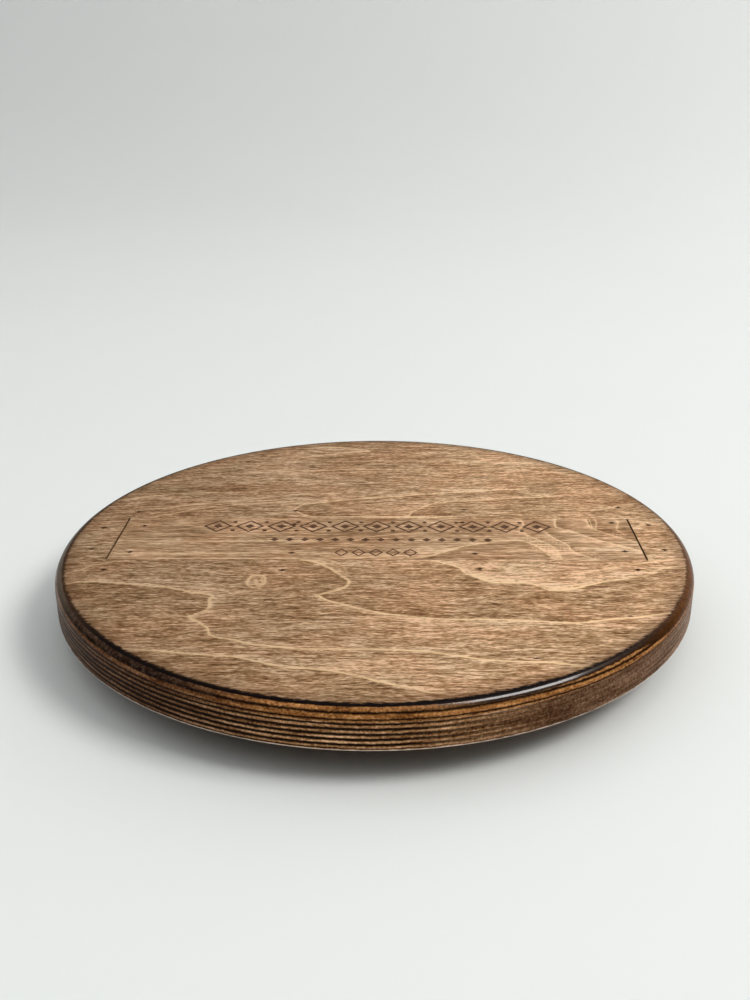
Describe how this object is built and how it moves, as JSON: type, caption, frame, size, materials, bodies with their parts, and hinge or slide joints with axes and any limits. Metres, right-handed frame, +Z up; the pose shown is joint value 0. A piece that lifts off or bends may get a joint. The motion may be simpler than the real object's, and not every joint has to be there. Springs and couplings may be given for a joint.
{
  "type": "turntable display stand",
  "caption": "Round stained wooden turntable with a flush inlaid strip and small nails, turning on a square ball bearing over a smaller round base with rubber feet.",
  "frame": {"origin": "on the surface it stands on, at the axis the disc turns about", "axes": "+Z up along the turning axis, +X along the inlaid strip's long side to the right, +Y to the back"},
  "size_m": [0.4064, 0.4064, 0.0435],
  "materials": {
    "stained_plywood": "varnished",
    "face_wood": "satin varnish",
    "strip_wood": "satin varnish",
    "base_plywood": "varnished",
    "nail_steel": "stained over",
    "zinc_steel": "zinc plated",
    "screw_steel": "zinc plated",
    "ball_steel": "polished",
    "cage_plastic": "plain",
    "rubber": "matte"
  },
  "bodies": {
    "base": {"base_board": "base_plywood", "rubber_foot_1": "rubber", "rubber_foot_2": "rubber", "rubber_foot_3": "rubber", "rubber_foot_4": "rubber", "bearing_lower_plate": "zinc_steel", "lower_screw_1": "screw_steel", "lower_screw_2": "screw_steel", "lower_screw_3": "screw_steel", "lower_screw_4": "screw_steel"},
    "turntable": {"turntable_board": "stained_plywood", "face_panel": "face_wood", "inlay_strip": "strip_wood", "nail_01": "nail_steel", "nail_02": "nail_steel", "nail_03": "nail_steel", "nail_04": "nail_steel", "nail_05": "nail_steel", "nail_06": "nail_steel", "nail_07": "nail_steel", "nail_08": "nail_steel", "nail_09": "nail_steel", "nail_10": "nail_steel", "nail_11": "nail_steel", "nail_12": "nail_steel", "nail_13": "nail_steel", "nail_14": "nail_steel", "nail_15": "nail_steel", "nail_16": "nail_steel", "nail_17": "nail_steel", "nail_18": "nail_steel", "nail_19": "nail_steel", "nail_20": "nail_steel", "bearing_upper_plate": "zinc_steel", "upper_screw_1": "screw_steel", "upper_screw_2": "screw_steel", "upper_screw_3": "screw_steel", "upper_screw_4": "screw_steel"},
    "ball_ring": {"ball_cage": "cage_plastic", "ball_01": "ball_steel", "ball_02": "ball_steel", "ball_03": "ball_steel", "ball_04": "ball_steel", "ball_05": "ball_steel", "ball_06": "ball_steel", "ball_07": "ball_steel", "ball_08": "ball_steel", "ball_09": "ball_steel", "ball_10": "ball_steel", "ball_11": "ball_steel", "ball_12": "ball_steel"}
  },
  "joints": [
    {"name": "turntable_spin", "type": "hinge", "parent": "base", "child": "turntable", "pos_m": [0, 0, 0.01655], "axis": [0, 0, 1], "continuous": true},
    {"name": "ball_ring_roll", "type": "hinge", "parent": "base", "child": "ball_ring", "pos_m": [0, 0, 0.01655], "axis": [0, 0, 1], "continuous": true}
  ],
  "couplings": [
    {"joint": "ball_ring_roll", "follows": "turntable_spin", "ratio": 0.5}
  ]
}
